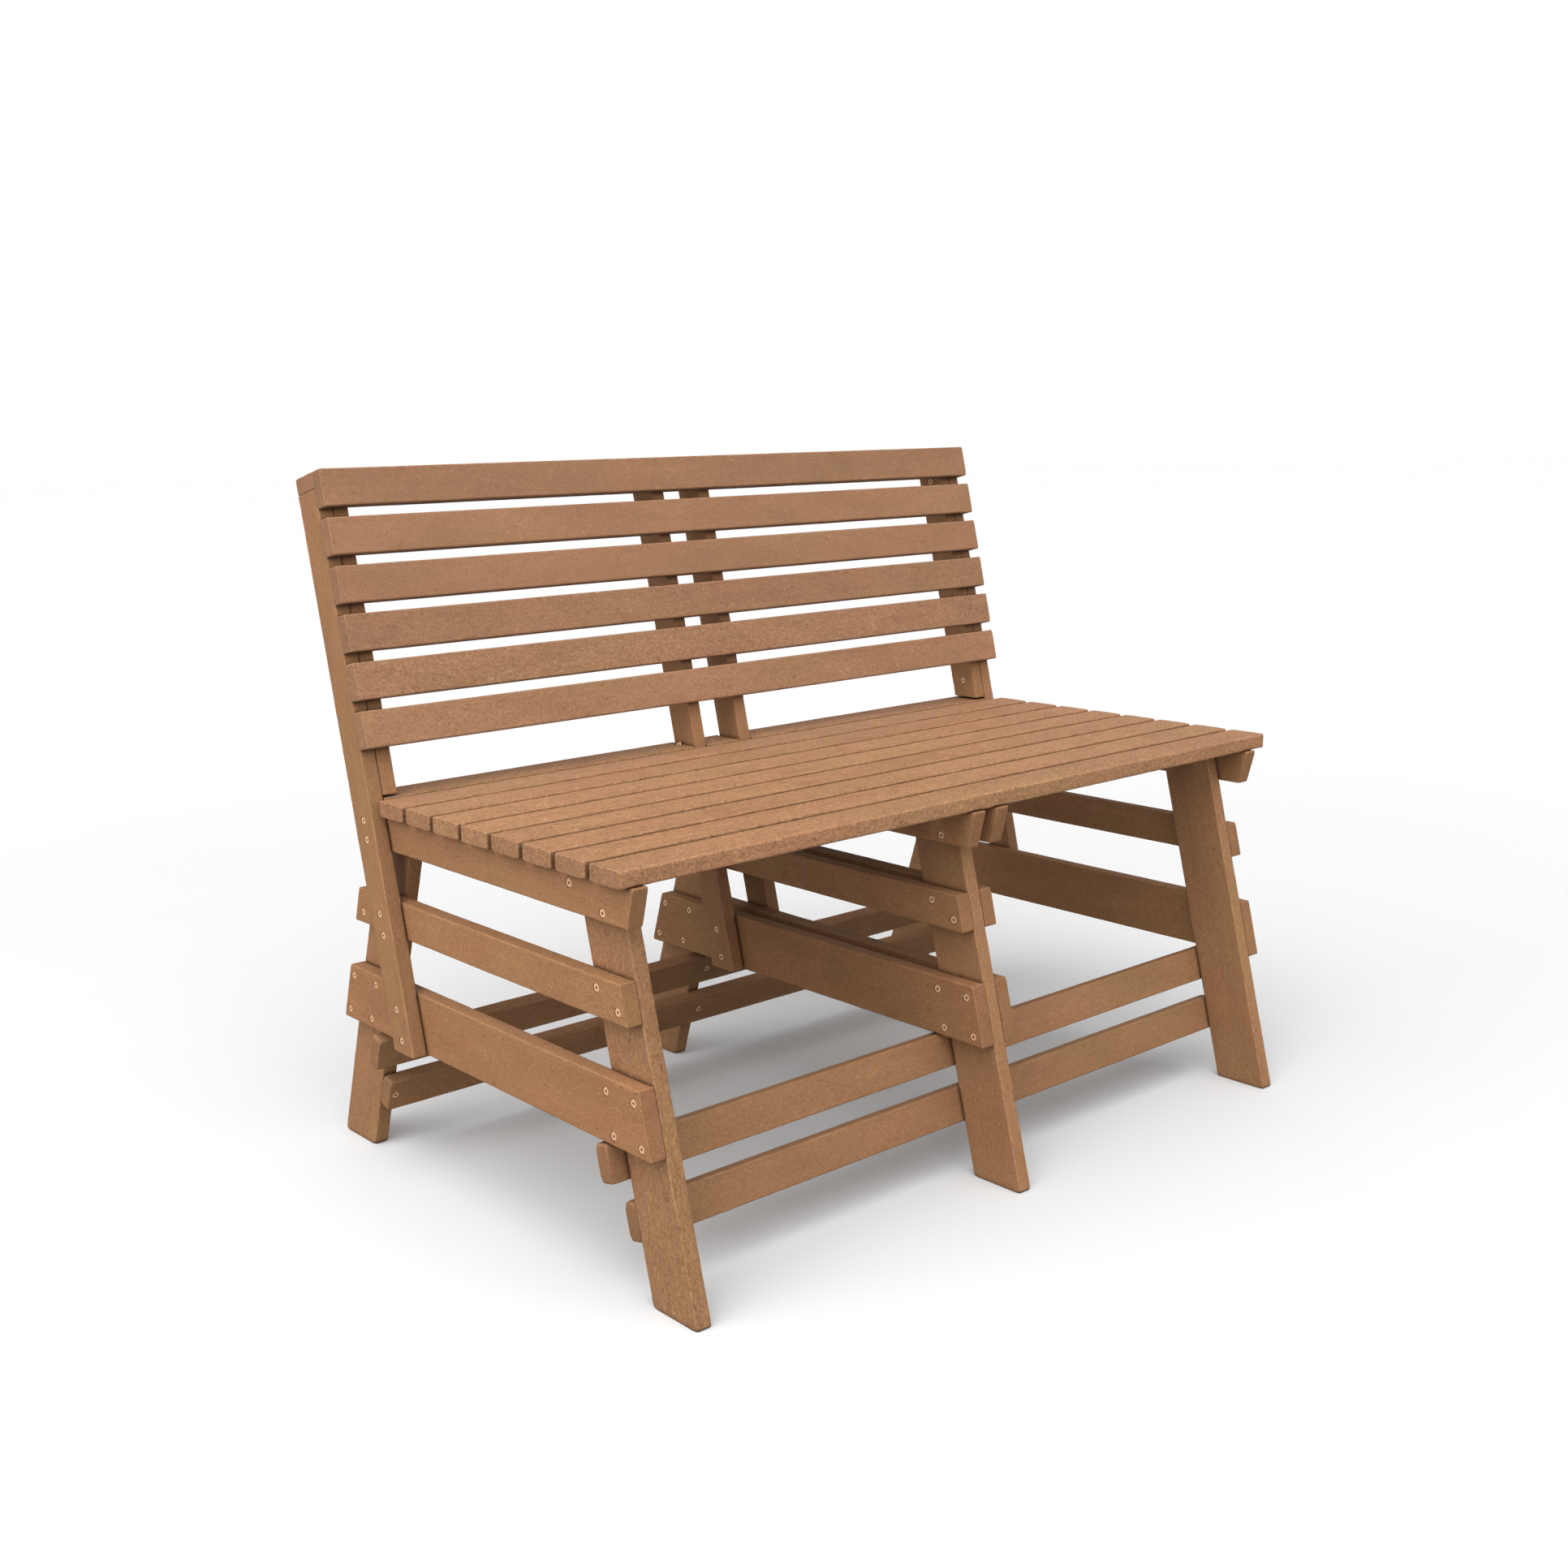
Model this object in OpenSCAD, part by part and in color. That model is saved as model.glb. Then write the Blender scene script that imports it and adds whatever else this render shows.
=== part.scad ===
// Two-bay slatted park bench with a high reclined back.
// Every board is square-edged lumber with softly rounded arrises, cut to
// length and screwed face to face. X runs along the bench, the sitter faces
// -Y, Z is up, and the origin is on the ground under the middle of the bench.
// Left is -X, as seen from in front of the bench.

/* [Overall] */
// Height of the top of the seat above the ground
seat_h = 450; // [420:5:480]
// Length over the outer faces of the two end posts
frame_len = 1020; // [960:10:1300]
// Sideways offset of the middle frame from the centre of the bench
mid_shift = -3; // [-10:1:10]

/* [Boards] */
// Thickness of the frame boards, posts, rails, legs and stretchers
board_t = 18.5; // [17:0.5:20]
// Thickness of the seat slats
slat_t = 18; // [16:0.5:20]
// Width of the narrow boards: posts, back slats, seat and middle rails
narrow_w = 42; // [40:0.5:44]
// Width of the wide boards: legs and lower rails
wide_w = 69; // [66:0.5:72]
// Width of the four stretchers
stretcher_w = 41; // [38:0.5:42]
// Radius of the long arrises of every board
edge_r = 2.2; // [1:0.2:3]

/* [Seat] */
// Width of one seat slat
seat_slat_w = 50; // [46:0.5:52]
// Rounding of the seat slats' long edges
seat_edge_r = 3; // [1:0.2:5]
// Gap between neighbouring seat slats
seat_gap = 7.5; // [6:0.5:9]
// Length of one seat slat
seat_len = 1018; // [960:1:1300]
// How far the seat slats sit off centre towards the right
seat_shift = 6; // [0:1:10]
// How far the rear strip stands in front of the post faces
strip_proud = 2; // [1:0.5:4]

/* [Back] */
// Lean of the back posts from the vertical, in degrees
back_lean = 13.1; // [10:0.1:15]
// Distance up the post from seat level to the lowest back slat
back_start = 55.5; // [45:0.5:65]
// Gap between neighbouring back slats
back_gap = 12; // [8:0.5:14]
// Height of the lower ends of the battens above the rear strip
batten_gap = 2; // [1:0.5:4]

/* [Frames] */
// Lean of the front legs from the vertical, in degrees
front_lean = 13.7; // [12:0.1:15]
// Lean of the rear legs from the vertical, in degrees
rear_lean = 18.5; // [17:0.1:19.5]
// Distance of the front toe ahead of the post face at seat level
front_toe = 521; // [515:1:527]
// Distance of the rear heel behind the post face at seat level
rear_heel = 183.5; // [180:0.5:187]
// Height of the top edge of the middle rails
mid_rail_top = 334; // [328:1:340]
// Height of the top edge of the lower rails
low_rail_top = 234; // [230:1:240]
// Reach of the seat rails ahead of the post face at seat level
seat_rail_reach = 466.5; // [463:0.5:470]
// Slope of the front end cut of the seat rails, in degrees
seat_rail_cut = 15.4; // [0:0.1:20]
// Gap between the upper and lower stretchers, along the leg
stretcher_gap = 24; // [18:1:28]
// How far the upper stretchers stop inside the end post faces
upper_inset = 15.5; // [12:0.5:18]

/* [Screws] */
// Diameter of the screw heads
head_d = 9; // [8:0.5:10]
// Diameter of the screw shanks
shank_d = 4.2; // [3.5:0.1:4.5]
// Depth of the heads below the board faces
head_sink = 0.3; // [0:0.1:0.6]

/* [Hidden] */

lumber = [0.66, 0.47, 0.33];
lumber_dark = [0.62, 0.44, 0.31];
screw_color = [0.86, 0.63, 0.45];
$fn = 32;

// Side and top of the slabs of space that trim the leaning boards
slab_side = 3000;
slab_top = 2000;

seat_slat_count = 8;
back_slat_count = 6;

// The parts are laid out from a datum: X from the outer face of the left post,
// Y from the front face of the posts at seat level, Z from the ground.

// Middle frame: two posts, two rails and the leg they share
mid_w = 5 * board_t;
mid_x = frame_len / 2 - mid_w / 2 + mid_shift;
// Post face of each side frame: left, middle left, middle right, right
frame_x = [0, mid_x, mid_x + mid_w, frame_len];
// Frames that carry the legs; frame 3 is screwed to the leg of frame 2
leg_frames = [1, 2, 4];

// Left end and front edge of the seat
seat_x = (frame_len - seat_len) / 2 + seat_shift;
seat_pitch = seat_slat_w + seat_gap;
seat_front = -(seat_slat_count * seat_pitch + strip_proud);
// The rear strip takes the next place behind the last seat slat
strip_row = seat_slat_count + 1;

// Underside of the slats and top of the seat rails
rail_top = seat_h - slat_t;
// Bottom edges of the rails
seat_rail_bot = rail_top - narrow_w;
mid_rail_bot = mid_rail_top - narrow_w;
low_rail_bot = low_rail_top - wide_w;

// Top of the back and top of the posts, measured up the post from seat level
back_top = back_start + back_slat_count * narrow_w + (back_slat_count - 1) * back_gap;
post_top = back_top - board_t;

// Level widths of the leaning boards
front_leg_w = wide_w / cos(front_lean);
rear_leg_w = wide_w / cos(rear_lean);
post_w = narrow_w / cos(back_lean);

// Ground origin in the datum
origin_x = (min(0, seat_x) + max(frame_len, seat_x + seat_len)) / 2;
origin_y = (rear_heel - front_toe) / 2;

// Y of the sloping edges at height z
function front_leg_front(z) = -front_toe + z * tan(front_lean);
function front_leg_back(z) = front_leg_front(z) + front_leg_w;
function rear_leg_back(z) = rear_heel - z * tan(rear_lean);
function rear_leg_front(z) = rear_leg_back(z) - rear_leg_w;
function post_front(z) = (z - seat_h) * tan(back_lean);
function post_back(z) = post_front(z) + post_w;
function post_centre(z) = post_front(z) + post_w / 2;

// Front edge of a seat slat, counted from the front
function seat_slat_y(i) = seat_front + (i - 1) * seat_pitch;
// Lower edge of a back slat up the post, counted from the top
function back_slat_base(i) = back_top - (i - 1) * (narrow_w + back_gap) - narrow_w;

// ---------- stock shapes ----------

// Rounded rectangle with its lower left corner at the origin
module section(width, height, radius = edge_r) {
  translate([radius, 0]) square([width - 2 * radius, height]);
  translate([0, radius]) square([width, height - 2 * radius]);
  for (x = [radius, width - radius], y = [radius, height - radius])
    translate([x, y]) circle(radius);
}

// Board running along X from the origin
module bar_x(length, depth, height, radius = edge_r) {
  rotate([90, 0, 90]) linear_extrude(length) section(depth, height, radius);
}

// Board running along Y from the origin, thick in X
module bar_y(length, height) {
  rotate([-90, 0, 0]) mirror([0, 1, 0])
    linear_extrude(length) section(board_t, height);
}

// Board running along Z, thick in X and wide in Y
module bar_z(bottom, top, width) {
  translate([0, 0, bottom]) linear_extrude(top - bottom) section(board_t, width);
}

// Slab of space between two heights
module slab(bottom, top) {
  translate([-slab_side / 2, -slab_side / 2, bottom])
    cube([slab_side, slab_side, top - bottom]);
}

// ---------- placing ----------

// Moves everything from the datum to the ground origin
module placed() { translate([-origin_x, -origin_y, 0]) children(); }

// Places a part of one side frame, drawn with the post's outer face on x = 0.
// Frames 1 to 4 run left to right; the right-hand one of each pair is mirrored.
module at_frame(frame) {
  translate([frame_x[frame - 1], 0, 0])
    mirror([frame > 2 ? 1 : 0, 0, 0]) children();
}
module at_frames(frames = [1 : 4]) {
  for (frame = frames) at_frame(frame) children();
}

// Moves a child from the upright post pose to the reclined pose
module reclined() {
  translate([0, 0, seat_h]) rotate([-back_lean, 0, 0]) children();
}

// ---------- screw and hole ----------

// Head: depth of its straight rim, depth of its cone and its hex socket
head_rim = 0.7;
head_depth = 3.3;
socket_r = 1.75;
socket_depth = 1.8;
socket_cut = 3;
// Tip: length of the taper and radius at its end
tip_len = 4;
tip_r = 0.4;
// Hole: clearances, rim and cone depths, and the cut above the face
shank_clear = 0.15;
head_clear = 0.2;
end_clear = 0.5;
hole_rim = 0.8;
hole_cone = 3.6;
hole_over = 1;

// Countersunk screw pointing down -Z from the board face at the origin
module screw(length) {
  shank_r = shank_d / 2;
  translate([0, 0, -head_sink])
  difference() {
    rotate_extrude($fn = 24) polygon([[0, 0], [head_d / 2, 0],
      [head_d / 2, -head_rim], [shank_r, -head_depth],
      [shank_r, -length + tip_len], [tip_r, -length], [0, -length]]);
    translate([0, 0, -socket_depth]) cylinder(h = socket_cut, r = socket_r, $fn = 6);
  }
}

// Countersunk hole that clears the screw, with a bore above the head
module hole(length, bore) {
  shank_r = shank_d / 2 + shank_clear;
  head_r = head_d / 2 + head_clear;
  top = head_sink + bore + hole_over;
  end = -length - end_clear;
  translate([0, 0, -head_sink])
  rotate_extrude($fn = 24) polygon([[0, top], [head_r, top],
    [head_r, -hole_rim], [shank_r, -hole_cone], [shank_r, end], [0, end]]);
}

// A drive is one screw's [place, rotation, length, bore depth]
module drive(drives) {
  for (d = drives) translate(d[0]) rotate(d[1]) screw(d[2]);
}
module drill(drives) {
  for (d = drives) translate(d[0]) rotate(d[1]) hole(d[2], d[3]);
}

// ---------- screws of a side frame ----------

// Across a frame the post spans x = 0 to 1, the rails 1 to 2 and the leg
// 2 to 3 board thicknesses.

// Bite into a leg, shorter in the middle frame because screws enter the same
// leg from both sides
bite_end = 15;
bite_mid = 8.2;
function leg_bite(frame) = frame == 1 || frame == 4 ? bite_end : bite_mid;
// Bite of the post screws into the middle and lower rails
rail_bite = 14;

// Seat rail to front leg: [drop below rail top, distance in from the leg's edge]
seat_front_high = [13, 13];   // from the back edge
seat_front_low = [33, 8.5];   // from the front edge
// Middle rail to front leg: the same columns, from the front edge
mid_front_holes = [[12, 42], [29, 12]];
// Middle rail to rear leg: height, and distance in from the back edge
mid_rear_z = mid_rail_bot + 13;
mid_rear_in = 16;
// Lower rail to legs: heights, and distance in from both edges
low_front_z = [low_rail_top - 15, low_rail_bot + 10.5];
low_front_in = 13;
low_rear_z = [low_rail_top - 13, low_rail_bot + 11.5];
low_rear_in = 10.5;
// Heights of the screws through the post
post_seat_z = [rail_top - 8, rail_top - 29];
post_mid_z = [mid_rail_top - 13, mid_rail_bot + 5];
post_low_z = [low_rail_top - 19, low_rail_bot + 15];

// Sideways screw pointing +X from a face at x
function side(x, y, z, length) = [[x, y, z], [0, -90, 0], length, 0];
// Through a rail into a leg
function leg_drive(y, z, frame) = side(board_t, y, z, board_t + leg_bite(frame));
// Through the post into a rail
function post_drives(heights) = [for (z = heights)
  side(0, post_centre(z), z, board_t + rail_bite)];

function seat_front_drives(frame) =
  let (high = rail_top - seat_front_high[0], low = rail_top - seat_front_low[0])
  [leg_drive(front_leg_back(high) - seat_front_high[1], high, frame),
   leg_drive(front_leg_front(low) + seat_front_low[1], low, frame)];
function mid_front_drives(frame) = [for (h = mid_front_holes)
  let (z = mid_rail_top - h[0]) leg_drive(front_leg_front(z) + h[1], z, frame)];
function mid_rear_drives(frame) =
  [leg_drive(rear_leg_back(mid_rear_z) - mid_rear_in, mid_rear_z, frame)];
function low_front_drives(frame) = [for (z = low_front_z)
  each [leg_drive(front_leg_front(z) + low_front_in, z, frame),
        leg_drive(front_leg_back(z) - low_front_in, z, frame)]];
function low_rear_drives(frame) = [for (z = low_rear_z)
  each [leg_drive(rear_leg_back(z) - low_rear_in, z, frame),
        leg_drive(rear_leg_front(z) + low_rear_in, z, frame)]];
// Through the post and the seat rail into the rear leg
function post_seat_drives(frame) = [for (z = post_seat_z)
  side(0, post_centre(z), z, 2 * board_t + leg_bite(frame))];

// All screws that enter a leg from one frame
function front_leg_drives(frame) = concat(seat_front_drives(frame),
  mid_front_drives(frame), low_front_drives(frame));
function rear_leg_drives(frame) = concat(post_seat_drives(frame),
  mid_rear_drives(frame), low_rear_drives(frame));

// Upward screws through a seat rail into the slats and the rear strip
rail_bore = 10;
slat_bite = 9;
function rail_slat_drive(i) = [
  [1.5 * board_t, seat_slat_y(i) + seat_slat_w / 2, seat_rail_bot + rail_bore],
  [180, 0, 0], narrow_w - rail_bore + slat_bite, rail_bore];
rail_slat_drives = [for (i = [1 : strip_row]) rail_slat_drive(i)];

// ---------- rails ----------

// Start and lengths of the rail stock before its ends are cut
rail_stock_y = -700;
seat_rail_stock = 1000;
leg_rail_stock = 1100;

// Rail between two heights, cut to a side outline of [y, z] points
module rail(bottom, top, stock_len, outline) {
  intersection() {
    translate([board_t, rail_stock_y, bottom]) bar_y(stock_len, top - bottom);
    rotate([90, 0, 90]) linear_extrude(3 * board_t) polygon(outline);
  }
}

// Rail whose ends follow the outer edges of the legs
module leg_rail(bottom, top) {
  rail(bottom, top, leg_rail_stock, [
    [front_leg_front(bottom), bottom], [rear_leg_back(bottom), bottom],
    [rear_leg_back(top), top], [front_leg_front(top), top]]);
}

module seat_rail(frame) {
  color(lumber) placed() at_frame(frame) difference() {
    rail(seat_rail_bot, rail_top, seat_rail_stock, [
      [-seat_rail_reach, rail_top],
      [-seat_rail_reach + narrow_w * tan(seat_rail_cut), seat_rail_bot],
      [post_back(seat_rail_bot), seat_rail_bot],
      [post_back(rail_top), rail_top]]);
    drill(seat_front_drives(frame));
    drill(post_seat_drives(frame));
    drill(rail_slat_drives);
  }
}

module mid_rail(frame) {
  color(lumber) placed() at_frame(frame) difference() {
    leg_rail(mid_rail_bot, mid_rail_top);
    drill(mid_front_drives(frame));
    drill(mid_rear_drives(frame));
    drill(post_drives(post_mid_z));
  }
}

module low_rail(frame) {
  color(lumber) placed() at_frame(frame) difference() {
    leg_rail(low_rail_bot, low_rail_top);
    drill(low_front_drives(frame));
    drill(low_rear_drives(frame));
    drill(post_drives(post_low_z));
  }
}

// ---------- stretchers ----------

// Drop of the rear stretchers below the lower rails
rear_stretcher_drop = 5;
stretcher_bite = 20;

// Inner edges of the legs, which carry the stretchers: [y on the ground,
// tilt about X, way it faces along Y, top of the stretchers up the leg]
front_inner = [-front_toe + front_leg_w, -front_lean, 1,
  low_rail_bot / cos(front_lean)];
rear_inner = [rear_heel - rear_leg_w, rear_lean, -1,
  (low_rail_bot - rear_stretcher_drop) / cos(rear_lean)];

// Leans a child against an inner edge
module on_leg(edge) {
  translate([0, edge[0], 0]) rotate([edge[1], 0, 0]) children();
}

// Lower edge of a stretcher up the leg; row 0 is the upper one, 1 the lower
function stretcher_base(edge, row) =
  edge[3] - (row + 1) * stretcher_w - row * stretcher_gap;
// Screws through both stretchers into a leg of a frame, in the leaning pose
function stretcher_drive(edge, row) = [
  [2.5 * board_t, edge[2] * board_t, stretcher_base(edge, row) + stretcher_w / 2],
  [-90 * edge[2], 0, 0], board_t + stretcher_bite, 0];
function stretcher_drives(edge) = [for (row = [0, 1]) stretcher_drive(edge, row)];

module stretcher(edge, row) {
  inset = row == 0 ? upper_inset : 2 * board_t;
  color(lumber_dark) placed() on_leg(edge) difference() {
    translate([inset, min(0, edge[2] * board_t), stretcher_base(edge, row)])
      bar_x(frame_len - 2 * inset, board_t, stretcher_w);
    at_frames(leg_frames) drill([stretcher_drive(edge, row)]);
  }
}

// ---------- legs ----------

// Ends of the leg stock before it is trimmed level
leg_stock = [-100, 600];

// Screw down through the middle strip into the top of the middle rear leg
strip_leg_drive = [[2.5 * board_t, 24, seat_h], [0, 0, 0], 36, 0];

module front_leg_body() {
  intersection() {
    translate([2 * board_t, -front_toe, 0]) rotate([-front_lean, 0, 0])
      bar_z(leg_stock[0], leg_stock[1], wide_w);
    slab(0, rail_top);
  }
}

module rear_leg_body() {
  intersection() {
    translate([2 * board_t, rear_heel, 0]) rotate([rear_lean, 0, 0])
      translate([0, -wide_w, 0]) bar_z(leg_stock[0], leg_stock[1], wide_w);
    slab(0, rail_top);
  }
}

module front_leg(frame) {
  color(lumber_dark) placed() difference() {
    at_frame(frame) difference() {
      front_leg_body();
      drill(front_leg_drives(frame));
      on_leg(front_inner) drill(stretcher_drives(front_inner));
    }
    if (frame == 2) at_frame(3) drill(front_leg_drives(3));
  }
}

module rear_leg(frame) {
  color(lumber_dark) placed() difference() {
    at_frame(frame) difference() {
      rear_leg_body();
      drill(rear_leg_drives(frame));
      on_leg(rear_inner) drill(stretcher_drives(rear_inner));
      if (frame == 2) drill([strip_leg_drive]);
    }
    if (frame == 2) at_frame(3) drill(rear_leg_drives(3));
  }
}

// ---------- posts, battens and back ----------

// Lower ends of the post and batten stock before trimming
post_stock = -400;
batten_stock = -100;
// Offsets of the back slat and cap screws from the middle of the post
slat_screw_shift = 3;
cap_screw_shift = -4.5;
cap_screw_len = 40;
back_slat_bite = 10;
// Places of the batten screws up the post, and their bite into it
batten_screw_places = [31.5, 325.5];
batten_bite = 14;

// These three are in the upright post pose.
// From behind a post into a back slat
function back_slat_drive(i) = [
  [board_t / 2 + slat_screw_shift, narrow_w, back_slat_base(i) + narrow_w / 2],
  [-90, 0, 0], narrow_w + back_slat_bite, 0];
back_slat_drives = [for (i = [1 : back_slat_count]) back_slat_drive(i)];
// Down through the cap into the post top
cap_drive = [[board_t / 2 + cap_screw_shift, narrow_w / 2, back_top],
  [0, 0, 0], cap_screw_len, 0];
// Through a batten into the post
batten_drives = [for (z = batten_screw_places)
  [[2 * board_t, narrow_w / 2, z], [0, 90, 0], board_t + batten_bite, 0]];

// Slanting screw from the end of a rear strip into a middle post
toe_drive = [[-7, 26, seat_h], [0, -45, 0], 28, 0];

module post(frame) {
  is_middle = frame == 2 || frame == 3;
  color(lumber) placed() at_frame(frame) difference() {
    intersection() {
      reclined() bar_z(post_stock, post_top, narrow_w);
      slab(low_rail_bot, slab_top);
    }
    drill(post_seat_drives(frame));
    drill(post_drives(post_mid_z));
    drill(post_drives(post_low_z));
    reclined() {
      drill(back_slat_drives);
      drill([cap_drive]);
      if (!is_middle) drill(batten_drives);
    }
    if (is_middle) drill([toe_drive]);
  }
}

// Batten on the inner face of an end post
module batten(frame) {
  color(lumber_dark) placed() at_frame(frame) difference() {
    intersection() {
      reclined() translate([board_t, 0, 0]) bar_z(batten_stock, post_top, narrow_w);
      slab(seat_h + batten_gap, slab_top);
    }
    reclined() drill(batten_drives);
  }
}

module back_slat(i) {
  color(lumber) placed() difference() {
    reclined() translate([0, -board_t, back_slat_base(i)])
      bar_x(frame_len, board_t, narrow_w);
    at_frames() reclined() drill([back_slat_drive(i)]);
  }
}

module top_cap() {
  color(lumber_dark) placed() difference() {
    reclined() translate([0, 0, post_top]) bar_x(frame_len, narrow_w, board_t);
    at_frames() reclined() drill([cap_drive]);
  }
}

// ---------- seat ----------

module seat_slat(i) {
  color(lumber) placed() difference() {
    translate([seat_x, seat_slat_y(i), rail_top])
      bar_x(seat_len, seat_slat_w, slat_t, seat_edge_r);
    at_frames() drill([rail_slat_drive(i)]);
  }
}

// Piece of the rear strip between two x positions
module strip(left, right) {
  translate([left, -strip_proud, rail_top])
    bar_x(right - left, seat_slat_w, slat_t, seat_edge_r);
}

module rear_strip_left() {
  color(lumber) placed() difference() {
    strip(board_t, mid_x);
    at_frame(1) drill([rail_slat_drive(strip_row)]);
    at_frame(2) drill([toe_drive]);
  }
}

module rear_strip_middle() {
  color(lumber) placed() difference() {
    strip(mid_x + board_t, mid_x + mid_w - board_t);
    at_frames([2, 3]) drill([rail_slat_drive(strip_row)]);
    at_frame(2) drill([strip_leg_drive]);
  }
}

module rear_strip_right() {
  color(lumber) placed() difference() {
    strip(mid_x + mid_w, frame_len - board_t);
    at_frame(4) drill([rail_slat_drive(strip_row)]);
    at_frame(3) drill([toe_drive]);
  }
}

// ---------- screw groups ----------

module frame_screws(frame) {
  color(screw_color) placed() at_frame(frame)
    drive(concat(front_leg_drives(frame), rear_leg_drives(frame),
      post_drives(post_mid_z), post_drives(post_low_z)));
}
module stretcher_screws() {
  color(screw_color) placed() at_frames(leg_frames)
    for (edge = [front_inner, rear_inner]) on_leg(edge) drive(stretcher_drives(edge));
}
module batten_screws() {
  color(screw_color) placed() at_frames([1, 4]) reclined() drive(batten_drives);
}
module back_slat_screws() {
  color(screw_color) placed() at_frames() reclined() drive(back_slat_drives);
}
module seat_slat_screws() {
  color(screw_color) placed() at_frames() drive(rail_slat_drives);
}
module cap_screws() {
  color(screw_color) placed() at_frames() reclined() drive([cap_drive]);
}
module strip_screws() {
  color(screw_color) placed() {
    at_frames([2, 3]) drive([toe_drive]);
    at_frame(2) drive([strip_leg_drive]);
  }
}

// ---------- assembly ----------

seat_slat(1);  // seat_slat_1
seat_slat(2);  // seat_slat_2
seat_slat(3);  // seat_slat_3
seat_slat(4);  // seat_slat_4
seat_slat(5);  // seat_slat_5
seat_slat(6);  // seat_slat_6
seat_slat(7);  // seat_slat_7
seat_slat(8);  // seat_slat_8
rear_strip_left();
rear_strip_middle();
rear_strip_right();
back_slat(1);  // back_slat_1
back_slat(2);  // back_slat_2
back_slat(3);  // back_slat_3
back_slat(4);  // back_slat_4
back_slat(5);  // back_slat_5
back_slat(6);  // back_slat_6
top_cap();
post(1);  // post_left
post(2);  // post_mid_left
post(3);  // post_mid_right
post(4);  // post_right
batten(1);  // batten_left
batten(4);  // batten_right
front_leg(1);  // front_leg_left
front_leg(2);  // front_leg_middle
front_leg(4);  // front_leg_right
rear_leg(1);  // rear_leg_left
rear_leg(2);  // rear_leg_middle
rear_leg(4);  // rear_leg_right
seat_rail(1);  // seat_rail_left
seat_rail(2);  // seat_rail_mid_left
seat_rail(3);  // seat_rail_mid_right
seat_rail(4);  // seat_rail_right
mid_rail(1);  // mid_rail_left
mid_rail(2);  // mid_rail_mid_left
mid_rail(3);  // mid_rail_mid_right
mid_rail(4);  // mid_rail_right
low_rail(1);  // low_rail_left
low_rail(2);  // low_rail_mid_left
low_rail(3);  // low_rail_mid_right
low_rail(4);  // low_rail_right
stretcher(front_inner, 0);  // front_stretcher_upper
stretcher(front_inner, 1);  // front_stretcher_lower
stretcher(rear_inner, 0);  // rear_stretcher_upper
stretcher(rear_inner, 1);  // rear_stretcher_lower
frame_screws(1);  // frame_screws_left
frame_screws(2);  // frame_screws_mid_left
frame_screws(3);  // frame_screws_mid_right
frame_screws(4);  // frame_screws_right
stretcher_screws();
batten_screws();
back_slat_screws();
seat_slat_screws();
cap_screws();
strip_screws();
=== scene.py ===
# A slatted bench of composite lumber boards held together by countersunk screws.
# The slats run along X, the front faces -Y, left is -X, and the feet stand on z = 0.
# Boards and screws are measured from the CAD pieces in millimetres and built in metres.
import math
from collections import namedtuple

import bmesh
import bpy
import numpy as np
from mathutils import Matrix, Vector, geometry


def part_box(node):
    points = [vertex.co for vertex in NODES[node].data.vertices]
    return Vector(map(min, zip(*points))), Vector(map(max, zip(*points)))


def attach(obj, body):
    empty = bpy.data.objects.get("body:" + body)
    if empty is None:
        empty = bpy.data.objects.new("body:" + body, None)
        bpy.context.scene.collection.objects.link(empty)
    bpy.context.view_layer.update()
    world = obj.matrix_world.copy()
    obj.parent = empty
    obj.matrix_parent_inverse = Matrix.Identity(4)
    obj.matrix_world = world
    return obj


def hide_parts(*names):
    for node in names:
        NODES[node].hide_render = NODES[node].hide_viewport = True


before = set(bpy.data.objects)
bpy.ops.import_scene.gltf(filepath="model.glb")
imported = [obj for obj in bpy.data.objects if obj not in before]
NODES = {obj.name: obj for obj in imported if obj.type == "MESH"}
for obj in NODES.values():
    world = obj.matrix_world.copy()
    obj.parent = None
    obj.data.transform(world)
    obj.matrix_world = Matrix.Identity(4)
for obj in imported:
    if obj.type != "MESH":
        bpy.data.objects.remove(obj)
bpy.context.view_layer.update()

SCENE = bpy.context.scene
MM = 0.001
SEED = 7

# Name starts of the boards that run along X, and of those that are slats
SEAT_BOARDS = ("seat_slat_", "rear_strip_")
BACK_BOARDS = ("back_slat_", "top_cap")
SLATS = SEAT_BOARDS + BACK_BOARDS
X_BOARDS = SLATS + ("front_stretcher_", "rear_stretcher_")


def link(name, data):
    ob = bpy.data.objects.new(name, data)
    SCENE.collection.objects.link(ob)
    return ob


def to_mesh(bm, name):
    me = bpy.data.meshes.new(name)
    bm.to_mesh(me)
    bm.free()
    return me


# ------------------------------------------------------------------ measuring the CAD
def node_points(name):
    """Vertices of a CAD node, in mm."""
    me = NODES[name].data
    co = np.zeros(len(me.vertices) * 3, np.float32)
    me.vertices.foreach_get("co", co)
    return co.reshape(-1, 3).astype(float) / MM


def hull2d(points):
    """Convex hull, anticlockwise."""
    pts = np.unique(np.round(points, 3), axis=0)
    hull = pts[geometry.convex_hull_2d([Vector(p) for p in pts])]
    x, y = hull[:, 0], hull[:, 1]
    area = 0.5 * np.sum(x * np.roll(y, -1) - np.roll(x, -1) * y)
    return hull if area > 0 else hull[::-1]


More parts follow.
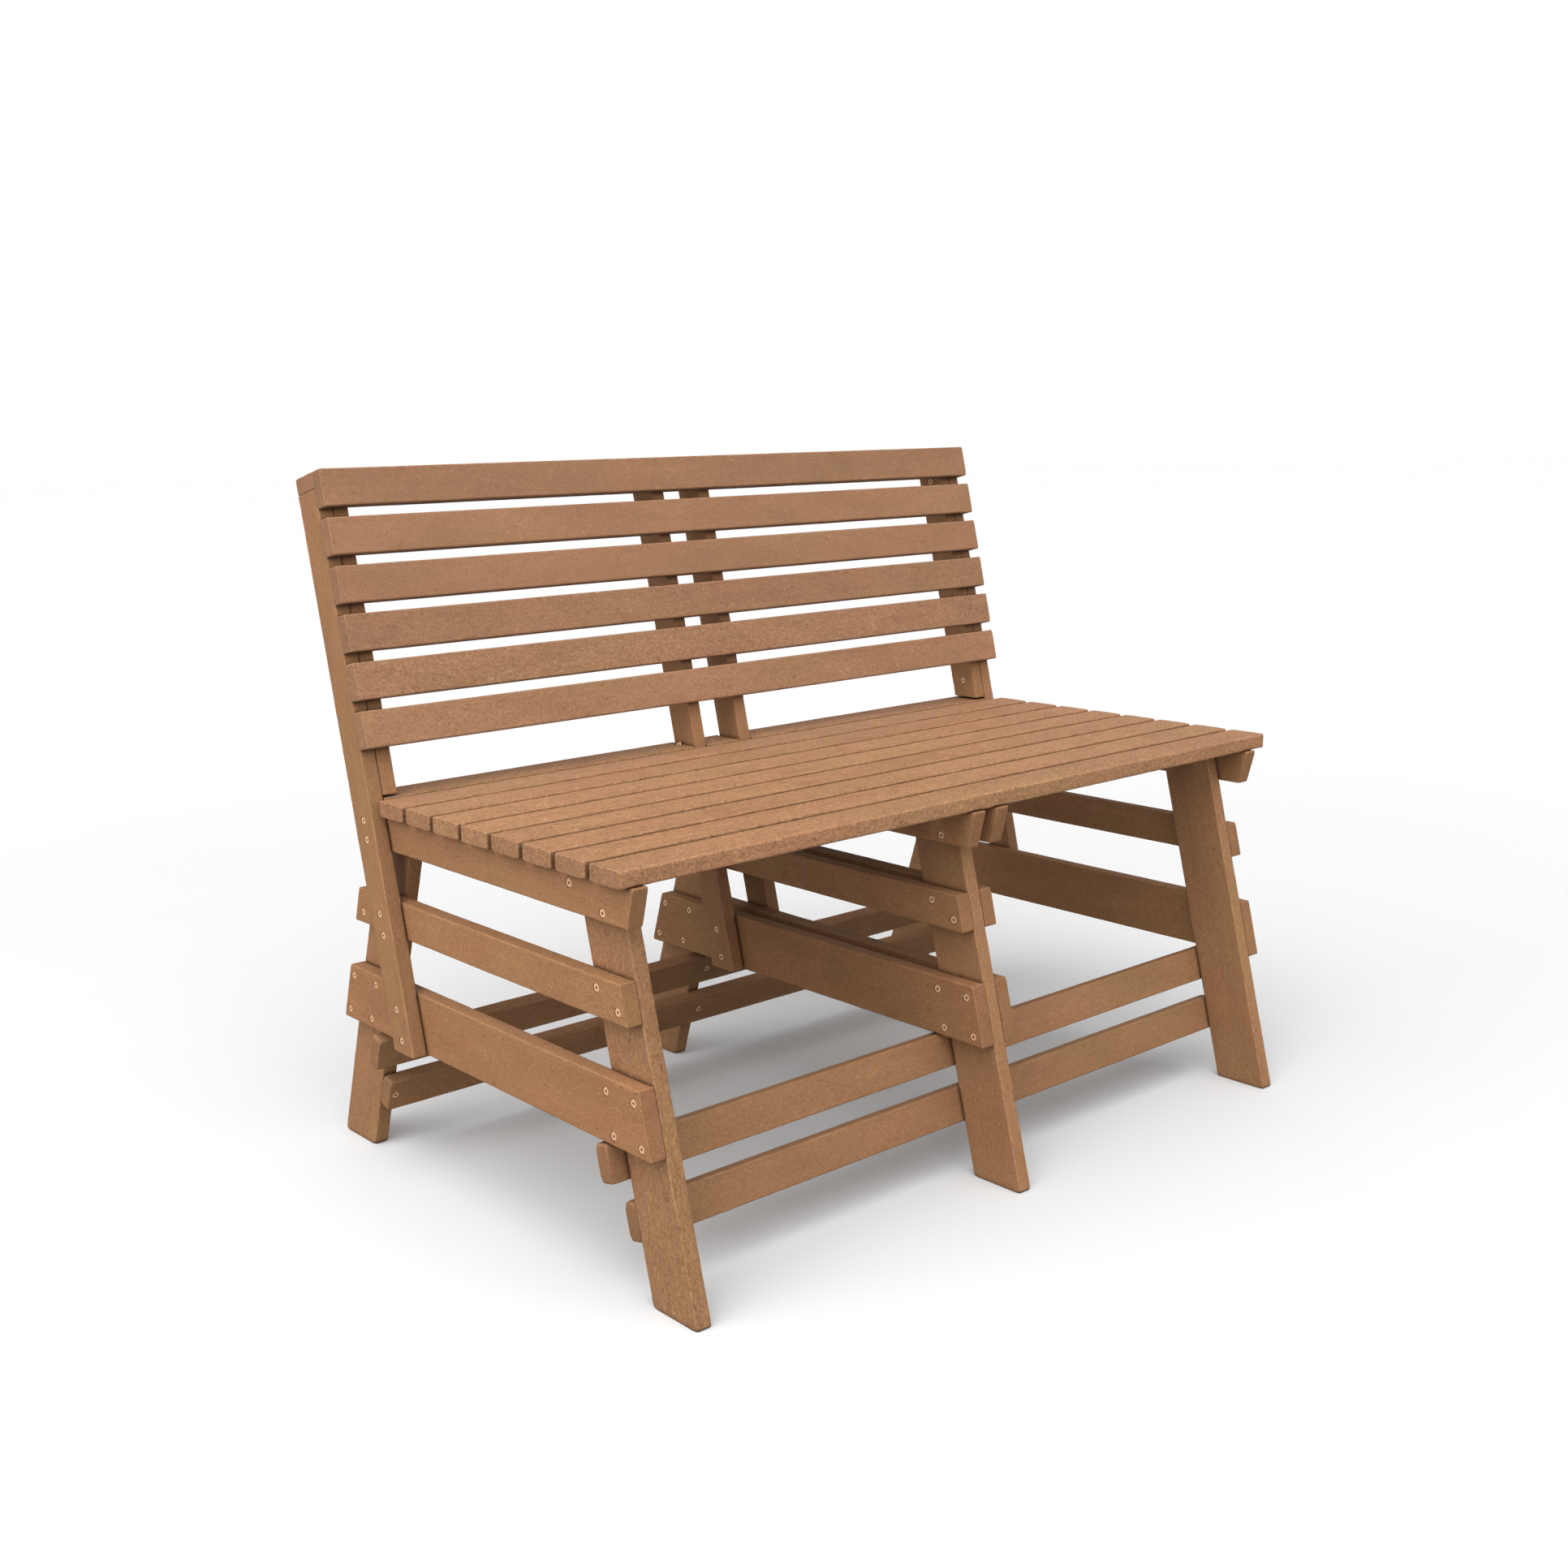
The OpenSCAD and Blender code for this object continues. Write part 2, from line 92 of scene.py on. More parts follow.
def simplify(hull, closest=0.05, tolerance=0.06):
    """Keeps the corners of a hull, dropping points that lie almost on its edges."""
    hull = [p for i, p in enumerate(hull) if np.linalg.norm(p - hull[i - 1]) > closest]
    while len(hull) > 4:
        least, flattest = 1e9, -1
        for i in range(len(hull)):
            before, here, after = hull[i - 1], hull[i], hull[(i + 1) % len(hull)]
            chord, side = after - before, here - before
            cross = abs(chord[0] * side[1] - chord[1] * side[0])
            offset = cross / max(np.linalg.norm(chord), 1e-9)
            if offset < least:
                least, flattest = offset, i
        if least > tolerance:
            break
        hull.pop(flattest)
    return np.array(hull)


def min_rect(hull, shortest_edge=2.0):
    """Smallest rectangle round a hull: its long and short directions, and the range in each."""
    best = None
    for i in range(len(hull)):
        edge = hull[(i + 1) % len(hull)] - hull[i]
        size = np.linalg.norm(edge)
        if size < shortest_edge:
            continue
        d = edge / size
        q = np.array([-d[1], d[0]])
        a, b = hull @ d, hull @ q
        area = np.ptp(a) * np.ptp(b)
        if best is None or area < best[0] - 1e-6:
            best = (area, d, q, (a.min(), a.max()), (b.min(), b.max()))
    _, d, q, along, across = best
    if along[1] - along[0] < across[1] - across[0]:
        d, q, along, across = q, -d, across, (-along[1], -along[0])
    return d, q, along, across


# ------------------------------------------------------------------ boards, in mm
POINT_STEP = 4.0          # spacing of outline points along an edge
CORNER_STEPS = 6          # segments round a corner of the outline
ARC_ANGLES = (0, 22.5, 45, 67.5, 90)  # stations round an arris, degrees
ARRIS_SEAT = 2.9          # rounding along the long edges of the seat boards
ARRIS_LONG = 2.1          # the same on all other boards
ARRIS_END = 1.0           # rounding round a cut end
ARRIS_MAX_SHARE = 0.45    # largest arris as a share of the thickness
CORNER_GAP = 0.12         # an arris is smaller than its corner's radius by this
CORNER_RELEASE = 2.5      # distance from a corner over which the arris may grow by 1
CORNER_JITTER = (0.85, 1.15)
CORNER_MAX_SHARE = 0.3    # largest corner run as a share of the shorter edge
LONG_SHARE = 0.45         # an edge longer than this share of the longest counts as long
EDGE_FADE = 25.0          # the inward wander dies out this near to a corner
# Per kind of edge: share the arris varies by, greatest inward wander
LONG_WEAR = (0.24, 0.16)
END_WEAR = (0.18, 0.05)
# Waves that vary the arris and the edge: (wavelength, weight)
ARRIS_WAVES = [(160, 1.0), (57, 0.8), (23, 0.7), (11.3, 0.55)]
WANDER_WAVES = [(420, 1.0), (140, 0.7), (52, 0.35)]


class Wave:
    """Smooth repeatable wander along a length, between about -1 and 1."""

    def __init__(self, rng, spans):
        self.parts = [
            (2 * math.pi / (span * rng.uniform(0.8, 1.25)), rng.uniform(0, 2 * math.pi), weight)
            for span, weight in spans
        ]
        self.total = sum(weight for _, _, weight in self.parts)

    def __call__(self, s):
        return sum(w * np.sin(k * s + phase) for k, phase, w in self.parts) / self.total


def angle_between(u, v):
    return math.acos(max(-1, min(1, float(u @ v))))


def rounded_outline(poly, rng, corner_radius, arris):
    """Outline of a board's wide face with rounded corners: points, normals and arris radii."""
    n = len(poly)
    points, normals, radii = [], [], []
    lengths = [np.linalg.norm(poly[(i + 1) % n] - poly[i]) for i in range(n)]
    corners = []  # radius, distance cut from each edge, directions back and on, inner angle
    for i in range(n):
        back, on = poly[i - 1] - poly[i], poly[(i + 1) % n] - poly[i]
        back, on = back / np.linalg.norm(back), on / np.linalg.norm(on)
        inner = angle_between(back, on)
        r = corner_radius(poly[i]) * rng.uniform(*CORNER_JITTER)
        r = min(r, CORNER_MAX_SHARE * min(lengths[i - 1], lengths[i]) * math.tan(inner / 2))
        corners.append((r, r / math.tan(inner / 2), back, on, inner))
    for i in range(n):
        corner = poly[i]
        r, cut, back, on, inner = corners[i]
        bisector = (back + on) / np.linalg.norm(back + on)
        centre = corner + bisector * r / math.sin(inner / 2)
        first = (corner + back * cut - centre) / r
        last = (corner + on * cut - centre) / r
        sweep = angle_between(first, last)
        for k in range(CORNER_STEPS + 1):
            f = k / CORNER_STEPS
            d = math.sin((1 - f) * sweep) * first + math.sin(f * sweep) * last
            d = d / math.sin(sweep)
            points.append(centre + d * r)
            normals.append(d)
            radii.append(r - CORNER_GAP)
        # straight run to the next corner
        next_r, next_cut = corners[(i + 1) % n][:2]
        start, stop = corner + on * cut, poly[(i + 1) % n] - on * next_cut
        run = np.linalg.norm(stop - start)
        is_long = lengths[i] > LONG_SHARE * max(lengths)
        base = arris if is_long else ARRIS_END
        swing, wander = LONG_WEAR if is_long else END_WEAR
        steps = max(2, int(round(run / POINT_STEP)))
        arris_wave = Wave(rng, ARRIS_WAVES)
        wander_wave = Wave(rng, WANDER_WAVES)
        for k in range(1, steps):
            s = run * k / steps
            wanted = base * (1.0 + swing * arris_wave(s))
            limit = min(
                r - CORNER_GAP + s / CORNER_RELEASE,
                next_r - CORNER_GAP + (run - s) / CORNER_RELEASE,
            )
            fade = min(1.0, s / EDGE_FADE, (run - s) / EDGE_FADE)
            inward = wander * fade * (0.5 + 0.5 * wander_wave(s))
            points.append(start + on * s - last * inward)
            normals.append(last)
            radii.append(min(wanted, limit))
    return np.array(points), np.array(normals), np.array(radii)


def prism(name, outline, t0, t1, directions):
    """Board from t0 to t1 with every arris rounded. Directions: outline's two, thickness."""
    points, normals, radii = outline
    u, v, through = directions
    radii = radii * min(1.0, ARRIS_MAX_SHARE * (t1 - t0) / max(radii))
    bm = bmesh.new()
    rings = []
    for side in (0, 1):
        for degrees in reversed(ARC_ANGLES) if side else ARC_ANGLES:
            angle = math.radians(degrees)
            p = points - normals * (radii * (1 - math.sin(angle)))[:, None]
            depth = radii * (1 - math.cos(angle))
            t = t1 - depth if side else t0 + depth
            xyz = np.outer(p[:, 0], u) + np.outer(p[:, 1], v) + np.outer(t, through)
            rings.append([bm.verts.new(Vector(c) * MM) for c in xyz])
    n = len(points)
    for a, b in zip(rings[:-1], rings[1:]):
        for i in range(n):
            j = (i + 1) % n
            bm.faces.new((a[i], a[j], b[j], b[i]))
    bm.faces.new(list(reversed(rings[0])))
    bm.faces.new(rings[-1])
    bmesh.ops.recalc_face_normals(bm, faces=bm.faces)
    return to_mesh(bm, name)


def board_mesh(name, rng):
    """Mesh of a board, and its directions along, across and through."""
    pts = node_points(name)
    x0, x1 = pts[:, 0].min(), pts[:, 0].max()
    hull = hull2d(pts[:, 1:3])
    if name.startswith(X_BOARDS):
        d, q, (a0, a1), (t0, t1) = min_rect(hull)
        poly = np.array([[x0, a0], [x1, a0], [x1, a1], [x0, a1]])
        directions = (np.array([1.0, 0, 0]), np.array([0, *d]), np.array([0, *q]))
        axes = directions
    else:
        # the wide face lies in the YZ plane, and the longest side gives the grain
        poly = simplify(hull)
        t0, t1 = x0, x1
        sides = [poly[(i + 1) % len(poly)] - poly[i] for i in range(len(poly))]
        grain = sides[int(np.argmax([np.linalg.norm(side) for side in sides]))]
        grain = grain / np.linalg.norm(grain)
        directions = (np.array([0, 1.0, 0]), np.array([0, 0, 1.0]), np.array([1.0, 0, 0]))
        axes = (np.array([0, *grain]), np.array([0, -grain[1], grain[0]]), directions[2])

    def corner_radius(p):
        if "_leg_" in name:
            return 3.0 if p[1] < 5 else 2.2  # larger at the foot
        if "stretcher" in name:
            return 3.4
        if name.startswith(SEAT_BOARDS):
            return 2.4
        return 1.7 if "rail" in name else 1.8

    arris = ARRIS_SEAT if name.startswith(SEAT_BOARDS) else ARRIS_LONG
    outline = rounded_outline(poly, rng, corner_radius, arris)
    return prism(name, outline, t0, t1, directions), axes


def mark_arrises_and_ends(me, axes):
    """Corner attribute: red on the arrises, green on cut ends."""
    flat_from, blend = 0.999, 0.12   # how square to an axis a flat face is, and the fade
    end_from = 0.80                  # how far a cut end faces along the board
    data = np.zeros((len(me.loops), 4), np.float32)
    data[:, 3] = 1
    for p in me.polygons:
        facing = [abs(np.array(p.normal) @ axis) for axis in axes]
        # how far a face lies on an arris; this mask drives paler arrises, partly wear and partly
        # painted highlight
        worn = max(0.0, min(1.0, (flat_from - max(facing)) / blend))
        if len(p.vertices) > 8:
            worn = 0.0
        data[list(p.loop_indices), :2] = (worn, 1.0 if facing[0] > end_from else 0.0)
    at = me.color_attributes.new("wear", "FLOAT_COLOR", "CORNER")
    at.data.foreach_set("color", data.ravel())


# ------------------------------------------------------------------ screws, in mm
Screw = namedtuple("Screw", "head axis length")  # middle of the head's face, outward axis
Hole = namedtuple("Hole", "screw outward low high")  # run beyond the head, box round it

SCREW_SEGMENTS = 36
RECESS_FLOOR = -2.1
# (radius, depth of the six lobes, height over the head's face)
HEAD_RINGS = [
    (0.95, 0.10, -1.95), (1.28, 0.18, -1.75), (1.34, 0.18, -0.22), (1.46, 0.18, -0.06),
    (1.64, 0.16, 0.0), (2.60, 0, 0.05), (3.65, 0, 0.04), (4.18, 0, -0.03),
    (4.40, 0, -0.14), (4.48, 0, -0.34), (4.42, 0, -0.66), (2.14, 0, -3.20), (2.10, 0, -3.9),
]
# (radius, height over the tip)
TIP_RINGS = [(2.10, 4.0), (1.2, 1.9), (0.4, 0.05)]
TILT_ABOVE = -3          # rings above this height share each head's small shift
RECESS_TONES = (1.0, 1.0, 1.0, 0.6)  # painted shade ("socket") of the bands from the middle outwards, down in the drive recess

HOLE_SEGMENTS = 32
HOLE_TURN = 0.13
HOLE_RIM, HOLE_SEAT, HOLE_NECK, HOLE_SHANK = 4.95, 4.92, 2.45, 2.35  # radii
HOLE_SEAT_Z, HOLE_NECK_Z = -0.55, -3.15
HOLE_SPARE = 0.4         # hole depth beyond the tip
HOLE_MARGIN = 5.0        # allowance round a hole when looking for the boards it meets


def islands(name):
    """Vertices of each separate solid in a CAD node."""
    co = node_points(name)
    _, ids = np.unique(np.round(co, 3), axis=0, return_inverse=True)
    ids = ids.reshape(-1)
    parent = list(range(int(ids.max()) + 1))

    def find(i):
        while parent[i] != i:
            parent[i] = parent[parent[i]]
            i = parent[i]
        return i

    for p in NODES[name].data.polygons:
        first, *others = p.vertices
        a = find(ids[first])
        for other in others:
            b = find(ids[other])
            if a != b:
                parent[b] = a
    root = np.array([find(i) for i in range(len(parent))])[ids]
    return [co[root == r] for r in np.unique(root)]


def screw_places(name):
    """Every screw in a CAD node, sorted by place."""
    out = []
    for pts in islands(name):
        offsets = pts - pts.mean(0)
        _, _, vt = np.linalg.svd(offsets, full_matrices=False)
        s = offsets @ vt[0]
        radial = np.linalg.norm(offsets - np.outer(s, vt[0]), axis=1)
        # the wider end is the head
        if radial[s < s.min() + 0.5].max() > radial[s > s.max() - 0.5].max():
            s = -s
        top = pts[s > s.max() - 0.02]
        tip = pts[s < s.min() + 0.02]
        rim = top[np.linalg.norm(top - top.mean(0), axis=1) > 4.0]
        head = rim.mean(0) if len(rim) > 5 else top.mean(0)
        axis = head - (tip.max(0) + tip.min(0)) / 2
        length = float(np.linalg.norm(axis))
        out.append(Screw(head, axis / length, length))
    out.sort(key=lambda screw: tuple(np.round(screw.head, 2)))
    return out


def basis(axis, turn):
    a = Vector(axis).normalized()
    ref = Vector((0, 0, 1)) if abs(a.z) < 0.9 else Vector((0, 1, 0))
    u = ref.cross(a).normalized()
    v = a.cross(u)
    return (u * math.cos(turn) + v * math.sin(turn), v * math.cos(turn) - u * math.sin(turn), a)


def lathe(bm, screw, turn, rings, segments, top_z, tip_z):
    """Rings of (radius, lobe depth, height), closed by a point at each end.

    Returns (band number, face) pairs, counting bands from the top."""
    u, v, a = basis(screw.axis, turn)
    head = Vector(screw.head)
    loops = []
    for radius, lobe, z in rings:
        loop = []
        for k in range(segments):
            t = 2 * math.pi * k / segments
            r = radius + lobe * math.cos(6 * t)
            p = head + u * (r * math.cos(t)) + v * (r * math.sin(t)) + a * z
            loop.append(bm.verts.new(p * MM))
        loops.append(loop)
    top = bm.verts.new((head + a * top_z) * MM)
    tip = bm.verts.new((head + a * tip_z) * MM)
    made = []
    for k in range(segments):
        j = (k + 1) % segments
        made.append((0, bm.faces.new((top, loops[0][k], loops[0][j]))))
        for i, (upper, lower) in enumerate(zip(loops[:-1], loops[1:])):
            made.append((i + 1, bm.faces.new((upper[k], lower[k], lower[j], upper[j]))))
        made.append((len(loops), bm.faces.new((loops[-1][k], tip, loops[-1][j]))))
    return made


def build_screws(name, screws, rng):
    bm = bmesh.new()
    socket = bm.faces.layers.float.new("socket")
    for screw in screws:
        turn = rng.uniform(0, math.pi / 3)
        tilt = rng.uniform(-0.06, 0.04)
        rings = HEAD_RINGS + [(r, 0, -(screw.length - z)) for r, z in TIP_RINGS]
        rings = [(r, lobe, z + tilt * 0.5 if z > TILT_ABOVE else z) for r, lobe, z in rings]
        made = lathe(bm, screw, turn, rings, SCREW_SEGMENTS, RECESS_FLOOR, -screw.length)
        for band, face in made:
            face[socket] = RECESS_TONES[band] if band < len(RECESS_TONES) else 0.0
            face.smooth = True
    bmesh.ops.recalc_face_normals(bm, faces=bm.faces)
    return to_mesh(bm, name)


def cutter_mesh(holes):
    """Countersunk plugs to be cut out of a board."""
    bm = bmesh.new()
    for hole in holes:
        bottom = -hole.screw.length - HOLE_SPARE
        rings = [
            (HOLE_RIM, 0, hole.outward),
            (HOLE_SEAT, 0, HOLE_SEAT_Z),
            (HOLE_NECK, 0, HOLE_NECK_Z),
            (HOLE_SHANK, 0, bottom),
        ]
        lathe(bm, hole.screw, HOLE_TURN, rings, HOLE_SEGMENTS, hole.outward, bottom)
    bmesh.ops.recalc_face_normals(bm, faces=bm.faces)
    return to_mesh(bm, "cut")


def find_holes(screw_groups):
    holes = []
    for name, screws in screw_groups.items():
        for screw in screws:
            outward = 1.5
            if name == "seat_slat_screws":
                outward = 13.0
            if name == "strip_screws" and abs(screw.axis[2]) < 0.9:
                outward = 6.0
            ends = np.array([
                screw.head + screw.axis * outward,
                screw.head - screw.axis * (screw.length + HOLE_SPARE),
            ])
            low, high = ends.min(0) - HOLE_MARGIN, ends.max(0) + HOLE_MARGIN
            holes.append(Hole(screw, outward, low, high))
    return holes


def cut_holes(ob, holes):
    cutter = cutter_mesh(holes)
    tool = link("tool", cutter)
    mod = ob.modifiers.new("holes", "BOOLEAN")
    mod.operation = "DIFFERENCE"
    mod.solver = "EXACT"
    mod.object = tool
    dg = bpy.context.evaluated_depsgraph_get()
    drilled = bpy.data.meshes.new_from_object(
        ob.evaluated_get(dg), preserve_all_data_layers=True, depsgraph=dg
    )
    ob.modifiers.clear()
    solid = ob.data
    ob.data = drilled
    bpy.data.meshes.remove(solid)
    bpy.data.objects.remove(tool)
    bpy.data.meshes.remove(cutter)


# ------------------------------------------------------------------ shader helpers
class Tree:
    """Short way to write the node tree of a material or world."""

    def __init__(self, owner):
        self.owner = owner
        owner.use_nodes = True
        self.tree = owner.node_tree
        self.tree.nodes.clear()

    def node(self, kind, inputs=None, **props):
        n = self.tree.nodes.new(kind)
        for key, value in props.items():
            setattr(n, key, value)
        for key, value in (inputs or {}).items():
            if isinstance(value, bpy.types.NodeSocket):
                self.tree.links.new(value, n.inputs[key])
            else:
                n.inputs[key].default_value = value
        return n

    def math(self, op, a, b=0.0, clamp=False):
        return self.node("ShaderNodeMath", {0: a, 1: b}, operation=op, use_clamp=clamp).outputs[0]

    def add(self, a, b, clamp=False):
        return self.math("ADD", a, b, clamp)

    def sub(self, a, b, clamp=False):
        return self.math("SUBTRACT", a, b, clamp)

    def mul(self, a, b, clamp=False):
        return self.math("MULTIPLY", a, b, clamp)

    def add_weighted(self, total, *parts):
        """Adds (value, weight) pairs to a total."""
        for value, weight in parts:
            total = self.add(total, self.mul(value, weight))
        return total

    def vector(self, op, inputs):
        return self.node("ShaderNodeVectorMath", inputs, operation=op).outputs["Vector"]

    def dot(self, a, b):
        n = self.node("ShaderNodeVectorMath", {0: a, 1: b}, operation="DOT_PRODUCT")
        return n.outputs["Value"]

    def coords(self):
        return self.node("ShaderNodeTexCoord").outputs["Object"]

    def ray(self, kind):
        return self.node("ShaderNodeLightPath").outputs[kind]

    def attribute(self, name, output, kind="OBJECT"):
        n = self.node("ShaderNodeAttribute", attribute_type=kind, attribute_name=name)
        return n.outputs[output]

    def noise(self, at, scale, detail=2.0, rough=0.5, distort=0.0):
        inputs = {"Vector": at, "Scale": scale, "Detail": detail}
        inputs.update({"Roughness": rough, "Distortion": distort})
        return self.node("ShaderNodeTexNoise", inputs).outputs["Fac"]

    def ramp(self, value, start, stop, low=0.0, high=1.0):
        """Smooth step from low at start to high at stop."""
        inputs = {"Value": value, "From Min": start, "From Max": stop}
        inputs.update({"To Min": low, "To Max": high})
        n = self.node("ShaderNodeMapRange", inputs, interpolation_type="SMOOTHSTEP")
        return n.outputs["Result"]

    def mix(self, factor, a, b, kind="MIX"):
        inputs = {"Factor": factor, 6: a, 7: b}
        n = self.node("ShaderNodeMix", inputs, data_type="RGBA", blend_type=kind)
        return n.outputs[2]

    def tint(self, colour, by):
        return self.mix(1.0, colour, by, "MULTIPLY")

    def rgb(self, r, g, b):
        return self.node("ShaderNodeCombineColor", {0: r, 1: g, 2: b}).outputs[0]

    def bump(self, height, strength, distance):
        inputs = {"Strength": strength, "Distance": distance, "Height": height}
        return self.node("ShaderNodeBump", inputs).outputs[0]

    def surface(self, inputs):
        """Closes the tree with a principled shader and returns the material."""
        p = self.node("ShaderNodeBsdfPrincipled", inputs)
        self.node("ShaderNodeOutputMaterial", {"Surface": p.outputs[0]})
        return self.owner


# ------------------------------------------------------------------ lumber material
class Lumber(Tree):
    """Speckled composite lumber, drawn in each board's own directions."""

    def __init__(self, name, base, dark, light):
        super().__init__(bpy.data.materials.new(name))
        self.base, self.dark, self.light = base, dark, light
        pos = self.coords()
        self.position = [
            self.dot(pos, self.attribute(key, "Vector")) for key in ("along", "across", "through")
        ]
        self.shift = self.attribute("shift", "Vector")
        wear = self.attribute("wear", "Color", kind="GEOMETRY")
        self.arris, self.end = self.node("ShaderNodeSeparateColor", {0: wear}).outputs[:2]
        self.speck = self.attribute("speck", "Fac")
        self.even = self.local(along=1)
        drawn = self.local(along=0.55)
        self.fine = self.noise(drawn, scale=560, detail=3.0, rough=0.60, distort=0.2)
        self.fleck = self.noise(drawn, scale=250, detail=2.5, rough=0.60, distort=1.1)
        at = self.local(along=0.45)
        self.chip = self.noise(at, scale=120, detail=3.0, rough=0.58, distort=1.6)
        self.blotch = self.noise(self.local(along=0.35), scale=26, detail=3.0, rough=0.55)
        self.drag = self.noise(self.local(along=0.045), scale=210, detail=3.0, rough=0.6)

    def local(self, along, across=1):
        """Board coordinates; a factor below 1 draws the pattern out that way."""
        parts = [self.mul(p, k) for p, k in zip(self.position, (along, across, 1))]
        joined = self.node("ShaderNodeCombineXYZ", dict(enumerate(parts))).outputs[0]
        return self.vector("ADD", {0: joined, 1: self.shift})

    def speckle(self):
        """Base tone with flecks and larger chips, pale and dark."""
        light, dark = self.light, self.dark

        def blend(colour, amount, other):
            return self.mix(self.mul(amount, self.speck, clamp=True), colour, other)

        def flecks(colour, value, start, stop, most, other):
            return blend(colour, self.ramp(value, start, stop, high=most), other)

        colour = self.mix(self.ramp(self.fine, start=0.32, stop=0.70), dark, light)
        colour = self.mix(self.mul(0.30, self.speck, clamp=True), self.base, colour)
        colour = flecks(colour, self.fleck, start=0.57, stop=0.72, most=0.50, other=light)
        colour = flecks(colour, self.fleck, start=0.42, stop=0.28, most=0.55, other=dark)
        colour = flecks(colour, self.chip, start=0.60, stop=0.74, most=0.30, other=light)
        colour = flecks(colour, self.chip, start=0.40, stop=0.26, most=0.36, other=dark)

        # short curled fibres in patches: thin bands where a noise crosses its middle
        def curls(fibre, width, patch, limits, most, other):
            line = self.math("ABSOLUTE", self.sub(fibre, 0.5))
            patch = self.mul(self.ramp(patch, *limits), most)
            return blend(colour, self.mul(self.ramp(line, width, 0.004), patch), other)

        colour = curls(
            self.noise(self.local(along=0.7), scale=85, detail=1.5, distort=1.4),
            width=0.018,
            patch=self.noise(self.local(along=0.5), scale=48, rough=0.6),
            limits=(0.50, 0.66), most=0.55, other=light,
        )
        colour = curls(
            self.noise(self.local(along=0.4), scale=110, detail=1.5, distort=1.2),
            width=0.016,
            patch=self.noise(self.local(along=0.4), scale=36, rough=0.6),
            limits=(0.55, 0.40), most=0.45, other=dark,
        )
        return colour

    def shade(self, colour):
        """Blotches, lengthwise drag, each board's own tone and cast, and darker cut ends."""
        cloud = self.noise(self.local(along=0.5), scale=7.0)
        gain = self.add_weighted(
            1.0,
            (self.sub(self.blotch, 0.5), 0.34),
            (self.sub(cloud, 0.5), 0.22),
            (self.sub(self.drag, 0.5), self.mul(self.speck, 0.20)),
        )
        gain = self.add(gain, self.attribute("tone", "Fac"))
        gain = self.sub(gain, self.mul(self.end, 0.13))
        colour = self.tint(colour, self.rgb(gain, gain, gain))
        return self.tint(colour, self.attribute("cast", "Color"))

    def drift(self, colour):
        """Slow drift between a more olive and a redder brown."""
        hue = self.noise(self.local(along=0.4), scale=14, detail=1.0)
        for stop, cast in ((0.72, (0.92, 1.02, 0.90, 1)), (0.30, (1.05, 0.97, 0.98, 1))):
            amount = self.ramp(hue, start=0.50, stop=stop, high=0.45)
            colour = self.mix(amount, colour, self.tint(colour, cast))
        return colour

    def sheen_and_scuffs(self, colour):
        """Paler arrises, partly wear and partly painted highlight, broken up along their length,
        and rare hairline scuffs on the faces.
        """
        breaks = self.noise(self.local(along=0.35), scale=95, detail=3.0, rough=0.6)
        broken = self.ramp(breaks, start=0.42, stop=0.64, low=0.05)
        edge = self.mul(self.ramp(self.arris, start=0.15, stop=0.95), broken)
        r, g, b, _ = self.light
        # paler arrises: partly wear, partly painted highlight
        colour = self.mix(self.mul(edge, 0.26), colour, (r * 1.10, g * 1.08, b * 1.04, 1))

        cells = self.node(
            "ShaderNodeTexVoronoi",
            {"Vector": self.local(along=1.0, across=0.16), "Scale": 42.0, "Randomness": 1.0},
            feature="F1",
        )
        scratch = self.ramp(cells.outputs["Distance"], start=0.055, stop=0.028)
        rare = self.ramp(self.noise(self.even, scale=9.0, detail=0.0), start=0.60, stop=0.66)
        scratch = self.mul(scratch, rare)
        return self.mix(self.mul(scratch, 0.35), colour, self.light), edge

    def shade_and_grime(self, colour, reach):
        """Painted shade from ambient occlusion, with some contact grime at the joints: darkens
        joints, gaps and drilled holes within reach, blue the most.
        """
        near = self.node("ShaderNodeAmbientOcclusion", {"Distance": reach}, samples=3)
        left = self.ramp(near.outputs["AO"], start=0.26, stop=0.92, low=0.14)
        green, blue = self.math("POWER", left, 1.08), self.math("POWER", left, 1.16)
        return self.tint(colour, self.rgb(left, green, blue))

    def relief(self):
        bumps = self.noise(self.even, scale=60)
        height = self.add_weighted(
            self.mul(self.fine, 0.35),
            (self.fleck, 0.40), (self.chip, 0.45), (self.drag, 0.25), (bumps, 0.9),
        )
        # cut ends are rougher
        height = self.mul(height, self.add(1.0, self.mul(self.end, 0.8)))
        return self.bump(height, strength=0.55, distance=0.0007)


def lumber_material(name, base, dark, light, reach):
    s = Lumber(name, base, dark, light)
    colour = s.drift(s.shade(s.speckle()))
    colour, edge = s.sheen_and_scuffs(colour)
    # painted shade in joints, gaps and drilled holes, with some contact grime
    colour = s.shade_and_grime(colour, reach)

    # light bounced off the boards is kept nearly neutral
    plain = s.node("ShaderNodeRGBToBW", {0: colour}).outputs[0]
    colour = s.mix(s.mul(s.ray("Is Diffuse Ray"), 0.55), colour, plain)

    # rougher with the grain, smoother on scuffed arrises
    rough = s.add_weighted(0.60, (s.fine, 0.16), (s.blotch, 0.10))
    rough = s.sub(rough, s.mul(edge, 0.10))
    return s.surface({
        "Base Color": colour,
        "Roughness": rough,
        "Normal": s.relief(),
        "IOR": 1.45,
        "Specular IOR Level": 0.28,
    })


